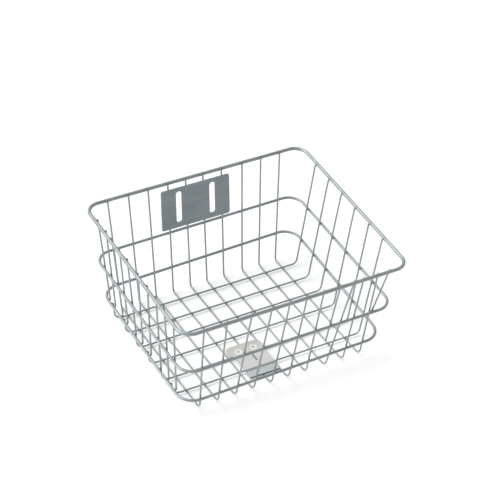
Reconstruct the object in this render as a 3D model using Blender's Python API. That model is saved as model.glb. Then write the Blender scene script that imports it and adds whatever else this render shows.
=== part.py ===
"""Wire basket with a slotted plate on its back wall and a sheet bracket on its floor.

All lengths are in metres. X runs along the long side, Y from the front wall to the
back wall that carries the slotted plate, and Z up. The basket stands at Z = 0 on the
wires that run from front to back. The origin is under the middle of the rim.
"""

import math

import bmesh
import bpy
from mathutils import Vector

# Overall sizes, measured to the centre lines of the wires
rim_length = 0.336
rim_depth = 0.2822
rim_back_height = 0.171
rim_front_height = 0.1589

# How much further out each wall stands at the rim than at the floor
side_flare = 0.0235
back_flare = 0.0271
front_flare = 0.026

# Heights of the two hoops under the rim, in the middle of the back and front walls, and
# how much higher each stands at the right wall and lower at the left wall
middle_back_height = 0.0946
middle_front_height = 0.0853
middle_tilt_rise = 0.0017
lower_back_height = 0.0395
lower_front_height = 0.0265
lower_tilt_rise = 0.0038

# Wire diameters
rim_diameter = 0.005
hoop_diameter = 0.004
wire_diameter = 0.0025

# Corner radii of the hoops, seen from above
rim_corner_radius = 0.019
middle_corner_radius = 0.022
lower_corner_radius = 0.024

# Bends of the thin wires, measured to their centre lines
back_bend_radius = 0.006
front_bend_radius = 0.012
side_bend_radius = 0.0075
side_end_bend_radius = 0.013

# Clearance that stands for a weld, how far a wire's cut end rises above the middle of
# the rim rod, and how far the ends that meet at the lower hoop stay from its centre line
weld_gap = 0.0003
cut_end_rise = 0.0002
hoop_end_gap = 0.0004

# Places of the front-to-back wires: how far they spread on the floor, on the back of
# the rim and on its front, as shares of its length, and their places as shares of that
floor_spread_share = 0.855
back_rim_spread_share = 0.808
front_rim_spread_share = 0.811
floor_shares = (-1.0, -0.777, -0.563, -0.344, -0.123, 0.091, 0.31, 0.552, 0.776, 0.995)
back_rim_shares = (-1.0, -0.771, -0.552, -0.332, -0.13, 0.066, 0.28, 0.52, 0.74, 0.964)
front_rim_shares = (-1.0, -0.755, -0.489, -0.271, -0.076, 0.111, 0.295, 0.634, 0.738, 0.897)

# Places of the side-to-side wires, as shares of half the depth of the floor and of the
# rim
side_floor_shares = (0.806, 0.507, 0.214, -0.103, -0.423, -0.685)
side_rim_shares = (0.67, 0.418, 0.175, -0.069, -0.327, -0.572)

# Uprights of the left wall: where the first and the last one stand, as shares of half
# the depth of the floor and of the rim, and the places of all between those two
left_foot_end_shares = (0.875, -0.801)
left_rim_end_shares = (0.777, -0.756)
left_foot_shares = (0.0, 0.082, 0.198, 0.275, 0.402, 0.503, 0.63, 0.777, 0.894, 1.0)
left_rim_shares = (0.0, 0.115, 0.194, 0.296, 0.403, 0.545, 0.669, 0.778, 0.885, 1.0)

# Two more uprights of the front wall: places on the rim, and where they would meet the
# floor, as shares of half its length. The first ends free at a share of the rim's
# height, and the second at the middle hoop
front_upright_rim_shares = (0.388, 0.835)
front_upright_floor_shares = (0.398, 0.768)
front_upright_free_share = 0.343

# Slotted plate on the inside of the back wall
plate_width = 0.106
plate_height = 0.0622
plate_thickness = 0.0018
plate_corner_radius = 0.0035
plate_below_rim = 0.0061
plate_off_centre = -0.0045
slot_width = 0.0086
slot_length = 0.0482
slot_half_spacing = 0.0259
slot_above_middle = 0.0009

# Sheet bracket on the floor, near the front wall. Its places along Y are measured from
# the two side wires that it lies on, and its nose takes a share of the way from the
# front one of them to the bend of the front wall's wires. Its head and its neck reach
# further to the right than to the left of the middle between its two holes
bracket_off_centre = -0.0149
bracket_thickness = 0.0015
bracket_behind_wire = 0.0176
bracket_before_wire = 0.001
bracket_nose_share = 0.65
bracket_head_left = 0.028
bracket_head_right = 0.0263
bracket_neck_left = 0.0215
bracket_neck_right = 0.0245
bracket_corner_radius = 0.01
bracket_nose_corner_radius = 0.002
bracket_waist_length = 0.0125
bracket_hole_diameter = 0.0066
bracket_hole_half_spacing = 0.0117
bracket_hole_from_back = 0.013
bracket_slit_width = 0.0018
bracket_slit_length = 0.0195
bracket_slit_from_wire = 0.0015
bracket_slit_off_centre = 0.0028
bracket_fold_radius = 0.0006
bracket_fold_degrees = 60
bracket_fold_steps = 4

# Fineness of the round forms, and one overrun for every cut
wire_bevel_resolution = 2
hoop_bevel_resolution = 3
bend_steps = 4
corner_steps = 7
round_steps = 8
cut_overrun = 0.002
merge_distance = 0.00001

# Worked out from the sizes above
thin_radius = wire_diameter / 2
hoop_seat = hoop_diameter / 2 + thin_radius + weld_gap
rim_seat = rim_diameter / 2 + thin_radius + weld_gap
floor_wire_height = thin_radius
cross_wire_height = floor_wire_height + wire_diameter + weld_gap
floor_length = rim_length - side_flare * 2
floor_back = rim_depth / 2 - back_flare
floor_front = front_flare - rim_depth / 2


def lerp(start, end, share):
    """Return the value that lies the given share of the way from start to end."""
    return start + (end - start) * share


class Wall:
    """A leaning wall: the plane that the centre lines of its upright wires lie in.

    The plane is given by how far out it stands at the floor and at the rim.
    """

    def __init__(self, foot_out, foot_height, rim_out, rim_height):
        self.lean = math.atan2(rim_out - rim_seat - foot_out, rim_height - foot_height)
        self.top_out = rim_out - rim_seat / math.cos(self.lean)
        self.lean = math.atan2(self.top_out - foot_out, rim_height - foot_height)
        self.foot_out = foot_out
        self.foot_height = foot_height
        self.rim_height = rim_height

    def out(self, height):
        """Distance of the uprights' centre lines from the middle, at a height."""
        return self.foot_out + (height - self.foot_height) * math.tan(self.lean)

    def hoop_out(self, height):
        """Distance of the centre line of a hoop that lies outside the uprights."""
        return self.out(height) + hoop_seat / math.cos(self.lean)

    def bend_reach(self, radius):
        """How far from the wall's foot a wire on the floor starts to bend up."""
        return radius / math.tan(math.pi / 4 + self.lean / 2)


def rim_height_at(y):
    """Height of the rim's centre line at a place along Y."""
    return lerp(rim_back_height, rim_front_height, 1 / 2 - y / rim_depth)


def side_wall(y):
    """The side wall at a place along Y, since the rim slopes down towards the front."""
    return Wall(floor_length / 2, cross_wire_height, rim_length / 2, rim_height_at(y))


back_wall = Wall(floor_back, floor_wire_height, rim_depth / 2, rim_back_height)
front_wall = Wall(-floor_front, floor_wire_height, rim_depth / 2, rim_front_height)


def clear_scene():
    """Remove every object of the open scene."""
    for old in list(bpy.data.objects):
        bpy.data.objects.remove(old, do_unlink=True)


def make_material(name, colour, roughness, metallic):
    """Return a Principled material."""
    material = bpy.data.materials.new(name)
    material.use_nodes = True
    shader = material.node_tree.nodes["Principled BSDF"]
    shader.inputs["Base Color"].default_value = (*colour, 1)
    shader.inputs["Roughness"].default_value = roughness
    shader.inputs["Metallic"].default_value = metallic
    return material


def corner_arc(before, corner, after, radius, steps):
    """Return the points of the arc that rounds a corner between two straight stretches."""
    back = (before - corner).normalized()
    onward = (after - corner).normalized()
    half_angle = back.angle(onward) / 2
    reach = radius / math.tan(half_angle)
    centre = corner + (back + onward).normalized() * (radius / math.sin(half_angle))
    start = corner + back * reach - centre
    end = corner + onward * reach - centre
    sweep = math.pi - half_angle * 2
    points = []
    for step in range(steps + 1):
        turn = sweep * step / steps
        spoke = start * math.sin(sweep - turn) + end * math.sin(turn)
        points.append(centre + spoke / math.sin(sweep))
    return points


def bent_path(corners, radii):
    """Return the points of a path whose inner corners are rounded by arcs.

    corners holds the points where the straight stretches would meet, and radii the
    radius of the arc at each inner corner.
    """
    points = [corners[0]]
    for before, corner, after, radius in zip(corners, corners[1:], corners[2:], radii):
        points += corner_arc(before, corner, after, radius, bend_steps)
    points.append(corners[-1])
    return points


def make_wire(name, points, diameter, resolution, material, closed=False):
    """Make one wire as a round tube along the given points."""
    curve = bpy.data.curves.new(name, "CURVE")
    curve.dimensions = "3D"
    curve.bevel_depth = diameter / 2
    curve.bevel_resolution = resolution
    curve.use_fill_caps = not closed
    spline = curve.splines.new("POLY")
    spline.points.add(len(points) - 1)
    for slot, point in zip(spline.points, points):
        slot.co = (*point, 1)
    spline.use_cyclic_u = closed
    spline.use_smooth = True
    curve.materials.append(material)
    wire = bpy.data.objects.new(name, curve)
    bpy.context.scene.collection.objects.link(wire)
    return wire


def hoop_corners(back_height, front_height, tilt_rise):
    """Return the corners of a hoop outside the uprights: the right back one first, then
    the left back, left front and right front one."""
    corners = []
    for x_sign, y_sign in ((1, 1), (-1, 1), (-1, -1), (1, -1)):
        height = (back_height if y_sign > 0 else front_height) + tilt_rise * x_sign
        wall = back_wall if y_sign > 0 else front_wall
        y = wall.hoop_out(height) * y_sign
        corners.append(Vector((side_wall(y).hoop_out(height) * x_sign, y, height)))
    return corners


def make_hoop(name, corners, radius, diameter, material):
    """Make a closed hoop with four round corners."""
    points = []
    for index, corner in enumerate(corners):
        after = corners[(index + 1) % len(corners)]
        points += corner_arc(corners[index - 1], corner, after, radius, corner_steps)
    make_wire(name, points, diameter, hoop_bevel_resolution, material, closed=True)


def make_hoops(material):
    """Make the rim and the two hoops under it, outside the upright wires."""
    x, y = rim_length / 2, rim_depth / 2
    rim_corners = (
        Vector((x, y, rim_back_height)), Vector((-x, y, rim_back_height)),
        Vector((-x, -y, rim_front_height)), Vector((x, -y, rim_front_height)))
    make_hoop("rim_hoop", rim_corners, rim_corner_radius, rim_diameter, material)
    make_hoop("middle_hoop", middle_corners, middle_corner_radius, hoop_diameter, material)
    make_hoop("lower_hoop", lower_corners, lower_corner_radius, hoop_diameter, material)


def make_front_back_wires(material):
    """Make the wires that run down the back wall, along the floor and up the front wall."""
    back_top = rim_back_height + cut_end_rise
    front_top = rim_front_height + cut_end_rise
    places = zip(back_rim_shares, floor_shares, front_rim_shares)
    for number, (back_share, floor_share, front_share) in enumerate(places, start=1):
        back_x = rim_length / 2 * back_rim_spread_share * back_share
        floor_x = floor_length / 2 * floor_spread_share * floor_share
        front_x = rim_length / 2 * front_rim_spread_share * front_share
        corners = (
            Vector((back_x, back_wall.out(back_top), back_top)),
            Vector((floor_x, floor_back, floor_wire_height)),
            Vector((floor_x, floor_front, floor_wire_height)),
            Vector((front_x, -front_wall.out(front_top), front_top)),
        )
        points = bent_path(corners, (back_bend_radius, front_bend_radius))
        name = f"front_back_wire_{number:02d}"
        make_wire(name, points, wire_diameter, wire_bevel_resolution, material)


def lower_left_height(y):
    """Height of the lower hoop's centre line on the left wall, at a place along Y."""
    _, back, front, _ = lower_corners
    return lerp(back.z, front.z, (back.y - y) / (back.y - front.y))


def floor_place(share):
    """Place along Y at a share of half the floor's depth from its middle."""
    return lerp(floor_front, floor_back, (1 + share) / 2)


def rim_place(share):
    """Place along Y at a share of half the rim's depth from its middle."""
    return rim_depth / 2 * share


def make_side_wires(material):
    """Make the wires that run down the right wall and across the floor.

    Each turns up at its left end and stops on the inside of the lower hoop.
    """
    places = zip(side_floor_shares, side_rim_shares)
    for number, (floor_share, rim_share) in enumerate(places, start=1):
        floor_y = floor_place(floor_share)
        rim_y = rim_place(rim_share)
        top = rim_height_at(rim_y) + cut_end_rise
        end = lower_left_height(floor_y) - hoop_end_gap
        corners = (
            Vector((side_wall(rim_y).out(top), rim_y, top)),
            Vector((floor_length / 2, floor_y, cross_wire_height)),
            Vector((-floor_length / 2, floor_y, cross_wire_height)),
            Vector((-side_wall(floor_y).out(end), floor_y, end)),
        )
        points = bent_path(corners, (side_bend_radius, side_end_bend_radius))
        name = f"side_wire_{number:02d}"
        make_wire(name, points, wire_diameter, wire_bevel_resolution, material)


def make_left_uprights(material):
    """Make the straight uprights that close the left wall, from lower hoop to rim."""
    places = zip(left_foot_shares, left_rim_shares)
    for number, (foot_share, rim_share) in enumerate(places, start=1):
        foot_y = floor_place(lerp(*left_foot_end_shares, foot_share))
        rim_y = rim_place(lerp(*left_rim_end_shares, rim_share))
        foot = lower_left_height(foot_y) + hoop_end_gap
        top = rim_height_at(rim_y) + cut_end_rise
        points = (
            Vector((-side_wall(foot_y).out(foot), foot_y, foot)),
            Vector((-side_wall(rim_y).out(top), rim_y, top)),
        )
        name = f"left_upright_{number:02d}"
        make_wire(name, points, wire_diameter, wire_bevel_resolution, material)


def make_front_uprights(material):
    """Make the two uprights of the front wall that end before they reach the floor."""
    top = rim_front_height + cut_end_rise
    feet = (rim_front_height * front_upright_free_share, middle_front_height)
    places = zip(front_upright_rim_shares, front_upright_floor_shares, feet)
    for number, (rim_share, floor_share, foot) in enumerate(places, start=1):
        rim_x = rim_length / 2 * rim_share
        foot_x = lerp(floor_length / 2 * floor_share, rim_x, foot / top)
        points = (
            Vector((foot_x, -front_wall.out(foot), foot)),
            Vector((rim_x, -front_wall.out(top), top)),
        )
        name = f"front_upright_{number:02d}"
        make_wire(name, points, wire_diameter, wire_bevel_resolution, material)


def arc_points(centre_x, centre_y, radius, first_degrees, last_degrees):
    """Return points of an arc in the XY plane, from one angle to another."""
    points = []
    for step in range(round_steps + 1):
        angle = math.radians(lerp(first_degrees, last_degrees, step / round_steps))
        points.append((centre_x + radius * math.cos(angle), centre_y + radius * math.sin(angle)))
    return points


def rounded_rectangle(width, height, radius):
    """Return the outline of a rectangle with round corners, centred on the origin."""
    x = width / 2 - radius
    y = height / 2 - radius
    return (arc_points(x, y, radius, 0, 90) + arc_points(-x, y, radius, 90, 180)
            + arc_points(-x, -y, radius, 180, 270) + arc_points(x, -y, radius, 270, 360))


def link_mesh(name, shape, material=None):
    """Turn a bmesh into a linked object and return it."""
    bmesh.ops.remove_doubles(shape, verts=shape.verts, dist=merge_distance)
    mesh = bpy.data.meshes.new(name)
    shape.to_mesh(mesh)
    shape.free()
    if material:
        mesh.materials.append(material)
    thing = bpy.data.objects.new(name, mesh)
    bpy.context.scene.collection.objects.link(thing)
    return thing


def slab(name, outline, bottom, top, material=None):
    """Make a flat slab with the given outline between two heights."""
    shape = bmesh.new()
    ring = [shape.verts.new((x, y, bottom)) for x, y in outline]
    face = shape.faces.new(ring)
    raised = bmesh.ops.extrude_face_region(shape, geom=[face])["geom"]
    lifted = [item for item in raised if isinstance(item, bmesh.types.BMVert)]
    bmesh.ops.translate(shape, verts=lifted, vec=(0, 0, top - bottom))
    bmesh.ops.recalc_face_normals(shape, faces=shape.faces)
    return link_mesh(name, shape, material)


def cut(target, cutter):
    """Cut a hidden tool out of an object that carries it."""
    cutter.parent = target
    cutter.hide_render = True
    cutter.display_type = "WIRE"
    boolean = target.modifiers.new(cutter.name, "BOOLEAN")
    boolean.operation = "DIFFERENCE"
    boolean.object = cutter


def make_mounting_plate(material):
    """Make the slotted plate that lies on the inside of the back wall's wires."""
    face = thin_radius + weld_gap
    outline = rounded_rectangle(plate_width, plate_height, plate_corner_radius)
    plate = slab("mounting_plate", outline, face, face + plate_thickness, material)
    slot_outline = rounded_rectangle(slot_width, slot_length, slot_width / 2)
    for side in (-1, 1):
        cutter = slab(
            f"slot_cutter_{side + 2}", slot_outline,
            face - cut_overrun, face + plate_thickness + cut_overrun)
        cutter.location = (slot_half_spacing * side, slot_above_middle, 0)
        cut(plate, cutter)
    middle_height = (rim_back_height
                     - (plate_below_rim + plate_height / 2) * math.cos(back_wall.lean))
    plate.location = (plate_off_centre, back_wall.out(middle_height), middle_height)
    plate.rotation_euler.x = math.pi / 2 - back_wall.lean


def bracket_outline(flat_length, full_length):
    """Return the flat outline of the bracket, which runs from its back edge towards -Y.

    The points go round against the clock seen from above, so the sheet faces up.
    """
    tip = full_length - bracket_nose_corner_radius
    sides = []
    for head, neck in ((bracket_head_left, bracket_neck_left),
                       (bracket_head_right, bracket_neck_right)):
        side = arc_points(head - bracket_corner_radius, -bracket_corner_radius,
                          bracket_corner_radius, 90, 0)
        for step in range(1, round_steps + 1):
            share = step / round_steps
            side.append((lerp(head, neck, (1 - math.cos(math.pi * share)) / 2),
                         -bracket_corner_radius - bracket_waist_length * share))
        side += arc_points(neck - bracket_nose_corner_radius, -tip,
                           bracket_nose_corner_radius, 0, -90)
        sides.append(side)
    left, right = sides
    return [(-x, y) for x, y in left] + right[::-1]


def fold_places(drop):
    """Return places along the underside of the step that lowers the bracket's nose.

    Each holds its distance past the start of the fold on the flat sheet, and how far
    forward and how far down it lies once the sheet is bent.
    """
    angle = math.radians(bracket_fold_degrees)
    outer_radius = bracket_fold_radius + bracket_thickness
    rise = 1 - math.cos(angle)
    slant = (drop - (bracket_fold_radius + outer_radius) * rise) / math.sin(angle)
    places = []
    for step in range(bracket_fold_steps + 1):
        turn = angle * step / bracket_fold_steps
        places.append((bracket_fold_radius * turn, bracket_fold_radius * math.sin(turn),
                       bracket_fold_radius * (1 - math.cos(turn))))
    along, forward, down = places[-1]
    for step in range(bracket_fold_steps + 1):
        turn = angle * (1 - step / bracket_fold_steps)
        places.append((
            along + slant + outer_radius * (angle - turn),
            forward + slant * math.cos(angle) + outer_radius * (math.sin(angle) - math.sin(turn)),
            down + slant * math.sin(angle) + outer_radius * (math.cos(turn) - math.cos(angle))))
    return places


def bend_sheet(shape, flat_length, places):
    """Bend a flat sheet that lies along -Y where it passes the start of its fold."""
    for along, _, _ in places:
        whole = shape.verts[:] + shape.edges[:] + shape.faces[:]
        bmesh.ops.bisect_plane(
            shape, geom=whole, plane_co=(0, -flat_length - along, 0), plane_no=(0, 1, 0),
            dist=merge_distance)
    end_along, end_forward, end_down = places[-1]
    for vertex in shape.verts:
        past = -vertex.co.y - flat_length
        if past >= end_along:
            vertex.co.y = -flat_length - end_forward - (past - end_along)
            vertex.co.z = -end_down
        elif past > 0:
            _, forward, down = min(places, key=lambda place: abs(place[0] - past))
            vertex.co.y = -flat_length - forward
            vertex.co.z = -down


def make_floor_bracket(material):
    """Make the sheet bracket that lies on two side wires and steps down before them."""
    wire_before = floor_place(side_floor_shares[-1])
    wire_behind = floor_place(side_floor_shares[-2])
    bend_start = floor_front + front_wall.bend_reach(front_bend_radius)
    places = fold_places(wire_diameter + weld_gap)
    fold_along, fold_forward, _ = places[-1]
    flat_length = bracket_behind_wire + wire_behind - wire_before + bracket_before_wire
    nose_reach = (wire_before - bend_start) * bracket_nose_share - bracket_before_wire
    full_length = flat_length + nose_reach - fold_forward + fold_along
    underside = cross_wire_height + thin_radius + weld_gap

    shape = bmesh.new()
    outline = bracket_outline(flat_length, full_length)
    shape.faces.new([shape.verts.new((x, y, 0)) for x, y in outline])
    bend_sheet(shape, flat_length, places)
    bracket = link_mesh("floor_bracket", shape, material)
    solid = bracket.modifiers.new("sheet", "SOLIDIFY")
    solid.thickness = bracket_thickness
    solid.offset = 1
    solid.use_even_offset = True

    hole = rounded_rectangle(
        bracket_hole_diameter, bracket_hole_diameter, bracket_hole_diameter / 2)
    top = bracket_thickness + cut_overrun
    for side in (-1, 1):
        cutter = slab(f"hole_cutter_{side + 2}", hole, -cut_overrun, top)
        cutter.location = (bracket_hole_half_spacing * side, -bracket_hole_from_back, 0)
        cut(bracket, cutter)
    slit_outline = rounded_rectangle(
        bracket_slit_width, bracket_slit_length, bracket_slit_width / 2)
    slit = slab("slit_cutter", slit_outline, -cut_overrun, top)
    slit_middle = bracket_behind_wire + bracket_slit_from_wire + bracket_slit_length / 2
    slit.location = (bracket_slit_off_centre, -slit_middle, 0)
    cut(bracket, slit)
    bracket.location = (bracket_off_centre, wire_behind + bracket_behind_wire, underside)


clear_scene()
painted = make_material("painted_wire", (0.32, 0.34, 0.35), 0.38, 0.75)
plate_paint = make_material("painted_sheet", (0.19, 0.22, 0.24), 0.42, 0.6)
stainless = make_material("stainless_sheet", (0.56, 0.55, 0.53), 0.3, 1.0)
middle_corners = hoop_corners(middle_back_height, middle_front_height, middle_tilt_rise)
lower_corners = hoop_corners(lower_back_height, lower_front_height, lower_tilt_rise)
make_hoops(painted)
make_front_back_wires(painted)
make_side_wires(painted)
make_left_uprights(painted)
make_front_uprights(painted)
make_mounting_plate(plate_paint)
make_floor_bracket(stainless)
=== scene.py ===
"""Looks of the wire basket: rods, wires, weld beads, plate, bracket, studio and camera.

All lengths are in metres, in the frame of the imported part. X runs along the long side,
Y from the front wall to the back wall, and Z up.
"""

import logging
import math
from dataclasses import dataclass, field
from enum import Enum
from typing import Any, Callable, Iterable, Iterator, Optional, Sequence

import bmesh
import bpy
from bpy.types import Material, Mesh, Node, NodeSocket, Object
from mathutils import Matrix, Vector


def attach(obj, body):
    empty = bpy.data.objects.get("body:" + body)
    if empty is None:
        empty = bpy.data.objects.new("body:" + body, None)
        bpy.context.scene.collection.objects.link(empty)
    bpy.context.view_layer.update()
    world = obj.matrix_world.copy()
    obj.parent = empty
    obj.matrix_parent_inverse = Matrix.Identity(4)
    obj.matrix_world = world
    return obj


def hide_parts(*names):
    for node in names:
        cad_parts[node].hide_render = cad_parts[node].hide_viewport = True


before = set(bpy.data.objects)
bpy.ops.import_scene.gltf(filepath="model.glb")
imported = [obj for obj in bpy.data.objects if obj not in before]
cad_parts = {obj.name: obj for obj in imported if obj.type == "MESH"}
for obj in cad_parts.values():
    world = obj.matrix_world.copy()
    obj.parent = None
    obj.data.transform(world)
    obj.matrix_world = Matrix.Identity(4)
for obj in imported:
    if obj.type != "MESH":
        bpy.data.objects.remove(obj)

log = logging.getLogger("basket")

BODY = "root"

Pair = tuple[float, float]
Triple = tuple[float, float, float]
Series = tuple[float, ...]
Colour = Triple
Outline = list[Pair]

# Signs of X and Y at the four corners, from the right back corner against the clock
QUARTERS = ((1, 1), (-1, 1), (-1, -1), (1, -1))
# Part of a noise's range that carries tone
MIDTONES = (0.3, 0.7)
UP = Vector((0, 0, 1))
SAME_PLACE = 0.000001
MERGE_DISTANCE = 0.00001


# Shader building


def arithmetic(operation: str, reflected: bool = False) -> Callable[["Flow", Any], "Flow"]:
    """Make a method of Flow that runs a Math node on the flow and another value.

    Args:
        operation: the node's operation.
        reflected: whether the other value comes first.

    Returns:
        The method.
    """
    def method(flow: "Flow", other: Any) -> "Flow":
        """Return the result of the operation."""
        values = (other, flow) if reflected else (flow, other)
        return flow.compute(operation, *values)
    return method


class Flow:
    """A shader socket that takes part in arithmetic written as Python."""

    def __init__(self, recipe: "Recipe", socket: NodeSocket) -> None:
        """Wrap one output socket of a recipe's node tree."""
        self.recipe = recipe
        self.socket = socket

    __add__, __radd__ = arithmetic("ADD"), arithmetic("ADD", True)
    __sub__, __rsub__ = arithmetic("SUBTRACT"), arithmetic("SUBTRACT", True)
    __mul__, __rmul__ = arithmetic("MULTIPLY"), arithmetic("MULTIPLY", True)
    least, most = arithmetic("MINIMUM"), arithmetic("MAXIMUM")

    def compute(self, operation: str, *values: Any) -> "Flow":
        """Return the result of one Math node."""
        sockets = dict(enumerate(values))
        return self.recipe.node("ShaderNodeMath", {"operation": operation}, sockets)

    def size(self) -> "Flow":
        """Return the absolute value."""
        return self.compute("ABSOLUTE", self)

    def ramp(self, low: float, high: float, start: float = 0.0, end: float = 1.0) -> "Flow":
        """Go smoothly from one value to another.

        Args:
            low: input at which the result is start.
            high: input at which the result is end.
            start: result at and below low.
            end: result at and above high.

        Returns:
            The eased result.
        """
        settings = {"interpolation_type": "SMOOTHSTEP"}
        sockets = {0: self, 1: low, 2: high, 3: start, 4: end}
        return self.recipe.node("ShaderNodeMapRange", settings, sockets)


def weighed(shares: Sequence[float], *flows: Flow) -> Flow:
    """Return the sum of flows, each times its share."""
    return sum(flow * share for share, flow in zip(shares, flows))


class Recipe:
    """A material's node tree, filled one node at a time."""

    def __init__(self, name: str) -> None:
        """Start a Principled material.

        Args:
            name: the material's name.
        """
        self.material = bpy.data.materials.new(name)
        self.material.use_nodes = True
        self.tree = self.material.node_tree
        self.shader = self.tree.nodes["Principled BSDF"]

    def node(self, kind: str, settings: Optional[dict] = None, sockets: Optional[dict] = None,
             output: Any = 0) -> Flow:
        """Add a node.

        Args:
            kind: the node's type.
            settings: attributes that are set first, such as a Math node's operation.
            sockets: values or flows of its inputs, by index or name.
            output: index or name of the output that is wrapped.

        Returns:
            The wrapped output.
        """
        made = self.tree.nodes.new(kind)
        for key, value in (settings or {}).items():
            setattr(made, key, value)
        for key, value in (sockets or {}).items():
            self.feed(made.inputs[key], value)
        return Flow(self, made.outputs[output])

    def feed(self, socket: NodeSocket, value: Any) -> None:
        """Link a flow to an input, or set the input's constant.

        Args:
            socket: the input.
            value: the flow or the constant; a colour has three parts.
        """
        if isinstance(value, Flow):
            self.tree.links.new(value.socket, socket)
        elif socket.type == "RGBA":
            socket.default_value = (*value, 1.0)
        else:
            socket.default_value = value

    def place(self, centre: Sequence[float] = (0, 0, 0), turn: Triple = (0, 0, 0)) -> Flow:
        """Return the object's own coordinates, measured from a centre.

        Args:
            centre: point that becomes the origin.
            turn: Euler angles of the axes that the result is measured along.

        Returns:
            The coordinates.
        """
        here = self.node("ShaderNodeTexCoord", output="Object")
        return self.node("ShaderNodeMapping", {"vector_type": "TEXTURE"},
                         {"Vector": here, "Location": tuple(centre), "Rotation": turn})

    def stretch(self, vector: Flow, *scale: float) -> Flow:
        """Return a vector times a factor along each axis."""
        return self.node("ShaderNodeMapping", {"vector_type": "POINT"},
                         {"Vector": vector, "Scale": scale})

    def axis(self, vector: Flow, name: str) -> Flow:
        """Return one part of a vector, X, Y or Z."""
        return self.node("ShaderNodeSeparateXYZ", None, {0: vector}, name)

    def noise(self, vector: Flow, scale: float, detail: float = 2, rough: float = 0.5) -> Flow:
        """Return fractal noise between 0 and 1.

        Args:
            vector: where it is read.
            scale: features per metre.
            detail: octaves.
            rough: strength of the finer octaves.

        Returns:
            The noise value.
        """
        return self.node("ShaderNodeTexNoise", None,
                         {"Vector": vector, "Scale": scale, "Detail": detail, "Roughness": rough})

    def speckle(self, vector: Flow, scale: float) -> Flow:
        """Return a value that is constant within each small cell."""
        cells = self.node("ShaderNodeTexVoronoi", None,
                          {"Vector": vector, "Scale": scale}, "Color")
        return self.axis(cells, "X")

    def attribute(self, name: str) -> Flow:
        """Return a value that the mesh carries."""
        return self.node("ShaderNodeAttribute", {"attribute_name": name}, None, "Fac")

    def mix(self, share: Any, first: Any, second: Any) -> Flow:
        """Return a blend of two colours."""
        return self.node("ShaderNodeMix", {"data_type": "RGBA"},
                         {0: share, 6: first, 7: second}, 2)

    def bump(self, height: Flow, distance: float, strength: float) -> None:
        """Raise the surface's look, stacked on any earlier bump.

        Args:
            height: height as a share of the distance.
            distance: full height.
            strength: how strongly the bump shows, up to 1.
        """
        earlier = self.shader.inputs["Normal"].links
        sockets = {"Height": height, "Distance": distance, "Strength": strength}
        if earlier:
            sockets["Normal"] = Flow(self, earlier[0].from_socket)
        self.dress(Normal=self.node("ShaderNodeBump", None, sockets, "Normal"))

    def dress(self, **values: Any) -> None:
        """Feed the shader's inputs; an underscore in a name stands for a space."""
        for name, value in values.items():
            self.feed(self.shader.inputs[name.replace("_", " ")], value)


@dataclass(frozen=True)
class SatinPaint:
    """Sprayed satin paint on steel rod, pooled and darker round the welds.

    The shares are those of clouds, flakes and pooled paint, in this order.
    """

    name: str
    light: Colour
    dark: Colour
    pooled: Colour = (0.20, 0.205, 0.195)
    least_roughness: float = 0.27
    metallic: float = 0.45
    coat: float = 0.12
    coat_roughness: float = 0.3
    cloud_size: float = 0.022
    flake_size: float = 0.0006
    pool_size: float = 0.0025
    pool_window: Series = (0.25, 0.75, 0.5, 1)
    pool_depth: float = 0.6
    peel_size: float = 0.0016
    peel_relief: Pair = (0.00006, 0.5)
    tone_shares: Series = (0.7, 0.3)
    rough_shares: Series = (0.12, 0.06, 0.12)

    def make(self) -> Material:
        """Build the material.

        Returns:
            The finished material.
        """
        recipe = Recipe(self.name)
        here = recipe.place()
        clouds = recipe.noise(here, 1 / self.cloud_size, detail=3, rough=0.6)
        flakes = recipe.speckle(here, 1 / self.flake_size)
        ragged = recipe.noise(here, 1 / self.pool_size).ramp(*self.pool_window)
        pool = recipe.attribute("weld_near") * ragged
        tone = weighed(self.tone_shares, clouds.ramp(*MIDTONES), flakes)
        colour = recipe.mix(tone, self.dark, self.light)
        colour = recipe.mix(pool * self.pool_depth, colour, self.pooled)
        rough = weighed(self.rough_shares, clouds, flakes, pool) + self.least_roughness
        recipe.dress(Base_Color=colour, Roughness=rough, Metallic=self.metallic,
                     Coat_Weight=self.coat, Coat_Roughness=self.coat_roughness)
        recipe.bump(recipe.noise(here, 1 / self.peel_size, detail=1), *self.peel_relief)
        return recipe.material


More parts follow.
